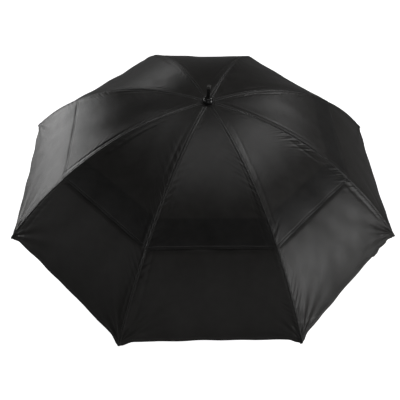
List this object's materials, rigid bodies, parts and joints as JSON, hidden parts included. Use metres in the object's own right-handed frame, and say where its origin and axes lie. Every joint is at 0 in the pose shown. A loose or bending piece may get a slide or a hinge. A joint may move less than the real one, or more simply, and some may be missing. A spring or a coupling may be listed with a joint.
{
  "type": "golf umbrella",
  "caption": "Open golf umbrella: a straight shaft with a foam hand grip carries a vented fabric canopy on hinged ribs, pushed open and folded shut by a sliding runner.",
  "frame": {"origin": "middle of the hand grip's straight stretch, on the shaft's axis", "axes": "+Z along the shaft from the grip to the ferrule; +X between two ribs"},
  "size_m": [1.2108, 1.2108, 1],
  "materials": {
    "shaft": "satin",
    "steel": "satin",
    "grip_foam": "matte",
    "gloss_black": "gloss",
    "moulded_black": "satin",
    "moulded_grey": "satin",
    "cloth": "satin",
    "rib_glass_fibre": "satin",
    "stretcher_metal": "satin"
  },
  "bodies": {
    "shaft": {"shaft_tube": "shaft", "stop_pin": "steel", "hand_grip": "grip_foam", "grip_collar": "gloss_black", "grip_end_cap": "moulded_black", "top_notch": "moulded_black", "notch_ring_wire": "steel", "inner_rosette": "cloth", "upper_canopy": "cloth", "lower_canopy": "cloth", "crown_rosette": "cloth", "ferrule_cup": "gloss_black", "ferrule_spike": "gloss_black", "ferrule_end_cap": "moulded_grey"},
    "runner": {"runner": "moulded_black", "runner_ring_wire": "steel"},
    "top_catch": {"top_catch": "steel"},
    "bottom_catch": {"bottom_catch": "steel"},
    "arm_1_inner_rib": {"rib_inner_1": "rib_glass_fibre", "rib_bracket_1": "moulded_black"},
    "arm_1_outer_rib": {"rib_outer_1": "rib_glass_fibre", "rib_tip_1": "moulded_black"},
    "arm_1_stretcher": {"stretcher_1": "stretcher_metal"},
    "arm_2_inner_rib": {"rib_inner_2": "rib_glass_fibre", "rib_bracket_2": "moulded_black"},
    "arm_2_outer_rib": {"rib_outer_2": "rib_glass_fibre", "rib_tip_2": "moulded_black"},
    "arm_2_stretcher": {"stretcher_2": "stretcher_metal"},
    "arm_3_inner_rib": {"rib_inner_3": "rib_glass_fibre", "rib_bracket_3": "moulded_black"},
    "arm_3_outer_rib": {"rib_outer_3": "rib_glass_fibre", "rib_tip_3": "moulded_black"},
    "arm_3_stretcher": {"stretcher_3": "stretcher_metal"},
    "arm_4_inner_rib": {"rib_inner_4": "rib_glass_fibre", "rib_bracket_4": "moulded_black"},
    "arm_4_outer_rib": {"rib_outer_4": "rib_glass_fibre", "rib_tip_4": "moulded_black"},
    "arm_4_stretcher": {"stretcher_4": "stretcher_metal"},
    "arm_5_inner_rib": {"rib_inner_5": "rib_glass_fibre", "rib_bracket_5": "moulded_black"},
    "arm_5_outer_rib": {"rib_outer_5": "rib_glass_fibre", "rib_tip_5": "moulded_black"},
    "arm_5_stretcher": {"stretcher_5": "stretcher_metal"},
    "arm_6_inner_rib": {"rib_inner_6": "rib_glass_fibre", "rib_bracket_6": "moulded_black"},
    "arm_6_outer_rib": {"rib_outer_6": "rib_glass_fibre", "rib_tip_6": "moulded_black"},
    "arm_6_stretcher": {"stretcher_6": "stretcher_metal"},
    "arm_7_inner_rib": {"rib_inner_7": "rib_glass_fibre", "rib_bracket_7": "moulded_black"},
    "arm_7_outer_rib": {"rib_outer_7": "rib_glass_fibre", "rib_tip_7": "moulded_black"},
    "arm_7_stretcher": {"stretcher_7": "stretcher_metal"},
    "arm_8_inner_rib": {"rib_inner_8": "rib_glass_fibre", "rib_bracket_8": "moulded_black"},
    "arm_8_outer_rib": {"rib_outer_8": "rib_glass_fibre", "rib_tip_8": "moulded_black", "tie_strap": "cloth"},
    "arm_8_stretcher": {"stretcher_8": "stretcher_metal"}
  },
  "joints": [
    {"name": "canopy_fold", "type": "hinge", "parent": "shaft", "child": "arm_1_inner_rib", "pos_m": [0.01016, 0.00421, 0.85], "axis": [-0.3827, 0.9239, 0], "range_deg": [0, 74.23], "deforming": ["upper_canopy", "lower_canopy", "tie_strap"]},
    {"name": "rib_1_bend", "type": "hinge", "parent": "arm_1_inner_rib", "child": "arm_1_outer_rib", "pos_m": [0.33023, 0.13678, 0.77161], "axis": [-0.3827, 0.9239, 0], "range_deg": [-25.53, 0]},
    {"name": "stretcher_1_swing", "type": "hinge", "parent": "arm_1_inner_rib", "child": "arm_1_stretcher", "pos_m": [0.31304, 0.12966, 0.76966], "axis": [-0.3827, 0.9239, 0], "range_deg": [-148.46, 0]},
    {"name": "rib_2_fold", "type": "hinge", "parent": "shaft", "child": "arm_2_inner_rib", "pos_m": [0.00421, 0.01016, 0.85], "axis": [-0.9239, 0.3827, 0], "range_deg": [0, 74.23]},
    {"name": "rib_2_bend", "type": "hinge", "parent": "arm_2_inner_rib", "child": "arm_2_outer_rib", "pos_m": [0.13678, 0.33023, 0.77161], "axis": [-0.9239, 0.3827, 0], "range_deg": [-25.53, 0]},
    {"name": "stretcher_2_swing", "type": "hinge", "parent": "arm_2_inner_rib", "child": "arm_2_stretcher", "pos_m": [0.12966, 0.31304, 0.76966], "axis": [-0.9239, 0.3827, 0], "range_deg": [-148.46, 0]},
    {"name": "rib_3_fold", "type": "hinge", "parent": "shaft", "child": "arm_3_inner_rib", "pos_m": [-0.00421, 0.01016, 0.85], "axis": [-0.9239, -0.3827, 0], "range_deg": [0, 74.23]},
    {"name": "rib_3_bend", "type": "hinge", "parent": "arm_3_inner_rib", "child": "arm_3_outer_rib", "pos_m": [-0.13678, 0.33023, 0.77161], "axis": [-0.9239, -0.3827, 0], "range_deg": [-25.53, 0]},
    {"name": "stretcher_3_swing", "type": "hinge", "parent": "arm_3_inner_rib", "child": "arm_3_stretcher", "pos_m": [-0.12966, 0.31304, 0.76966], "axis": [-0.9239, -0.3827, 0], "range_deg": [-148.46, 0]},
    {"name": "rib_4_fold", "type": "hinge", "parent": "shaft", "child": "arm_4_inner_rib", "pos_m": [-0.01016, 0.00421, 0.85], "axis": [-0.3827, -0.9239, 0], "range_deg": [0, 74.23]},
    {"name": "rib_4_bend", "type": "hinge", "parent": "arm_4_inner_rib", "child": "arm_4_outer_rib", "pos_m": [-0.33023, 0.13678, 0.77161], "axis": [-0.3827, -0.9239, 0], "range_deg": [-25.53, 0]},
    {"name": "stretcher_4_swing", "type": "hinge", "parent": "arm_4_inner_rib", "child": "arm_4_stretcher", "pos_m": [-0.31304, 0.12966, 0.76966], "axis": [-0.3827, -0.9239, 0], "range_deg": [-148.46, 0]},
    {"name": "rib_5_fold", "type": "hinge", "parent": "shaft", "child": "arm_5_inner_rib", "pos_m": [-0.01016, -0.00421, 0.85], "axis": [0.3827, -0.9239, 0], "range_deg": [0, 74.23]},
    {"name": "rib_5_bend", "type": "hinge", "parent": "arm_5_inner_rib", "child": "arm_5_outer_rib", "pos_m": [-0.33023, -0.13678, 0.77161], "axis": [0.3827, -0.9239, 0], "range_deg": [-25.53, 0]},
    {"name": "stretcher_5_swing", "type": "hinge", "parent": "arm_5_inner_rib", "child": "arm_5_stretcher", "pos_m": [-0.31304, -0.12966, 0.76966], "axis": [0.3827, -0.9239, 0], "range_deg": [-148.46, 0]},
    {"name": "rib_6_fold", "type": "hinge", "parent": "shaft", "child": "arm_6_inner_rib", "pos_m": [-0.00421, -0.01016, 0.85], "axis": [0.9239, -0.3827, 0], "range_deg": [0, 74.23]},
    {"name": "rib_6_bend", "type": "hinge", "parent": "arm_6_inner_rib", "child": "arm_6_outer_rib", "pos_m": [-0.13678, -0.33023, 0.77161], "axis": [0.9239, -0.3827, 0], "range_deg": [-25.53, 0]},
    {"name": "stretcher_6_swing", "type": "hinge", "parent": "arm_6_inner_rib", "child": "arm_6_stretcher", "pos_m": [-0.12966, -0.31304, 0.76966], "axis": [0.9239, -0.3827, 0], "range_deg": [-148.46, 0]},
    {"name": "rib_7_fold", "type": "hinge", "parent": "shaft", "child": "arm_7_inner_rib", "pos_m": [0.00421, -0.01016, 0.85], "axis": [0.9239, 0.3827, 0], "range_deg": [0, 74.23]},
    {"name": "rib_7_bend", "type": "hinge", "parent": "arm_7_inner_rib", "child": "arm_7_outer_rib", "pos_m": [0.13678, -0.33023, 0.77161], "axis": [0.9239, 0.3827, 0], "range_deg": [-25.53, 0]},
    {"name": "stretcher_7_swing", "type": "hinge", "parent": "arm_7_inner_rib", "child": "arm_7_stretcher", "pos_m": [0.12966, -0.31304, 0.76966], "axis": [0.9239, 0.3827, 0], "range_deg": [-148.46, 0]},
    {"name": "rib_8_fold", "type": "hinge", "parent": "shaft", "child": "arm_8_inner_rib", "pos_m": [0.01016, -0.00421, 0.85], "axis": [0.3827, 0.9239, 0], "range_deg": [0, 74.23]},
    {"name": "rib_8_bend", "type": "hinge", "parent": "arm_8_inner_rib", "child": "arm_8_outer_rib", "pos_m": [0.33023, -0.13678, 0.77161], "axis": [0.3827, 0.9239, 0], "range_deg": [-25.53, 0]},
    {"name": "stretcher_8_swing", "type": "hinge", "parent": "arm_8_inner_rib", "child": "arm_8_stretcher", "pos_m": [0.31304, -0.12966, 0.76966], "axis": [0.3827, 0.9239, 0], "range_deg": [-148.46, 0]},
    {"name": "runner_pivot", "type": "hinge", "parent": "arm_1_stretcher", "child": "runner", "pos_m": [0.01016, 0.00421, 0.68932], "axis": [-0.3827, 0.9239, 0], "range_deg": [0, 74.23]},
    {"name": "top_catch_press", "type": "slide", "parent": "shaft", "child": "top_catch", "axis": [-1, 0, 0], "range_m": [0, 0.003], "stiffness_N_per_m": 150},
    {"name": "bottom_catch_press", "type": "slide", "parent": "shaft", "child": "bottom_catch", "axis": [1, 0, 0], "range_m": [0, 0.003], "stiffness_N_per_m": 150}
  ],
  "couplings": [
    {"joint": "rib_1_bend", "follows": "canopy_fold", "ratio": -0.34393},
    {"joint": "stretcher_1_swing", "follows": "canopy_fold", "ratio": -2},
    {"joint": "rib_2_fold", "follows": "canopy_fold", "ratio": 1},
    {"joint": "rib_2_bend", "follows": "canopy_fold", "ratio": -0.34393},
    {"joint": "stretcher_2_swing", "follows": "canopy_fold", "ratio": -2},
    {"joint": "rib_3_fold", "follows": "canopy_fold", "ratio": 1},
    {"joint": "rib_3_bend", "follows": "canopy_fold", "ratio": -0.34393},
    {"joint": "stretcher_3_swing", "follows": "canopy_fold", "ratio": -2},
    {"joint": "rib_4_fold", "follows": "canopy_fold", "ratio": 1},
    {"joint": "rib_4_bend", "follows": "canopy_fold", "ratio": -0.34393},
    {"joint": "stretcher_4_swing", "follows": "canopy_fold", "ratio": -2},
    {"joint": "rib_5_fold", "follows": "canopy_fold", "ratio": 1},
    {"joint": "rib_5_bend", "follows": "canopy_fold", "ratio": -0.34393},
    {"joint": "stretcher_5_swing", "follows": "canopy_fold", "ratio": -2},
    {"joint": "rib_6_fold", "follows": "canopy_fold", "ratio": 1},
    {"joint": "rib_6_bend", "follows": "canopy_fold", "ratio": -0.34393},
    {"joint": "stretcher_6_swing", "follows": "canopy_fold", "ratio": -2},
    {"joint": "rib_7_fold", "follows": "canopy_fold", "ratio": 1},
    {"joint": "rib_7_bend", "follows": "canopy_fold", "ratio": -0.34393},
    {"joint": "stretcher_7_swing", "follows": "canopy_fold", "ratio": -2},
    {"joint": "rib_8_fold", "follows": "canopy_fold", "ratio": 1},
    {"joint": "rib_8_bend", "follows": "canopy_fold", "ratio": -0.34393},
    {"joint": "stretcher_8_swing", "follows": "canopy_fold", "ratio": -2},
    {"joint": "runner_pivot", "follows": "canopy_fold", "ratio": 1}
  ]
}
